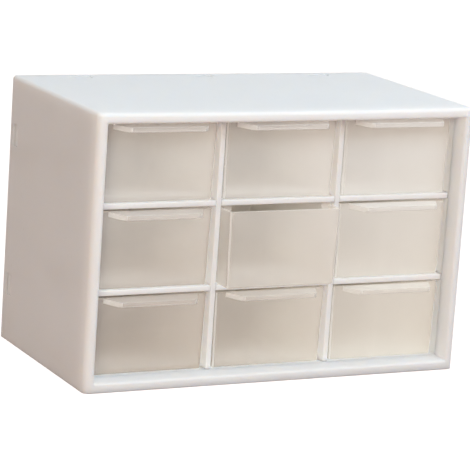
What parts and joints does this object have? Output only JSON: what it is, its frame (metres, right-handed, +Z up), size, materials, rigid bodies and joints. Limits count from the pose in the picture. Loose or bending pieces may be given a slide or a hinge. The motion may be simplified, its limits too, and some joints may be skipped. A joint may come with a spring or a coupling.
{
  "type": "desktop drawer organizer",
  "caption": "Free-standing desktop cabinet: a white rimmed case with slotted shelves and dividers that holds a grid of clear sliding drawers with front pulls.",
  "frame": {"origin": "centre of the cabinet's underside", "axes": "+X to the right seen from the front, +Y to the back, +Z up; the drawers open towards -Y"},
  "size_m": [0.185, 0.0984, 0.1225],
  "materials": {
    "shell_white": "satin moulded plastic",
    "frame_white": "satin moulded plastic",
    "drawer_clear": "clear polished plastic"
  },
  "bodies": {
    "cabinet": {"outer_shell": "shell_white", "inner_frame": "frame_white", "back_panel": "shell_white", "lower_shelf": "frame_white", "upper_shelf": "frame_white", "left_divider": "frame_white", "right_divider": "frame_white"},
    "bottom_left_drawer": {"drawer_bottom_left": "drawer_clear"},
    "bottom_middle_drawer": {"drawer_bottom_middle": "drawer_clear"},
    "bottom_right_drawer": {"drawer_bottom_right": "drawer_clear"},
    "middle_left_drawer": {"drawer_middle_left": "drawer_clear"},
    "centre_drawer": {"drawer_centre": "drawer_clear"},
    "middle_right_drawer": {"drawer_middle_right": "drawer_clear"},
    "top_left_drawer": {"drawer_top_left": "drawer_clear"},
    "top_middle_drawer": {"drawer_top_middle": "drawer_clear"},
    "top_right_drawer": {"drawer_top_right": "drawer_clear"}
  },
  "joints": [
    {"name": "bottom_left_slide", "type": "slide", "parent": "cabinet", "child": "bottom_left_drawer", "axis": [0, -1, 0], "range_m": [0, 0.075]},
    {"name": "bottom_middle_slide", "type": "slide", "parent": "cabinet", "child": "bottom_middle_drawer", "axis": [0, -1, 0], "range_m": [0, 0.075]},
    {"name": "bottom_right_slide", "type": "slide", "parent": "cabinet", "child": "bottom_right_drawer", "axis": [0, -1, 0], "range_m": [0, 0.075]},
    {"name": "middle_left_slide", "type": "slide", "parent": "cabinet", "child": "middle_left_drawer", "axis": [0, -1, 0], "range_m": [0, 0.075]},
    {"name": "centre_slide", "type": "slide", "parent": "cabinet", "child": "centre_drawer", "axis": [0, -1, 0], "range_m": [0, 0.065]},
    {"name": "middle_right_slide", "type": "slide", "parent": "cabinet", "child": "middle_right_drawer", "axis": [0, -1, 0], "range_m": [0, 0.075]},
    {"name": "top_left_slide", "type": "slide", "parent": "cabinet", "child": "top_left_drawer", "axis": [0, -1, 0], "range_m": [0, 0.075]},
    {"name": "top_middle_slide", "type": "slide", "parent": "cabinet", "child": "top_middle_drawer", "axis": [0, -1, 0], "range_m": [0, 0.075]},
    {"name": "top_right_slide", "type": "slide", "parent": "cabinet", "child": "top_right_drawer", "axis": [0, -1, 0], "range_m": [0, 0.075]}
  ]
}
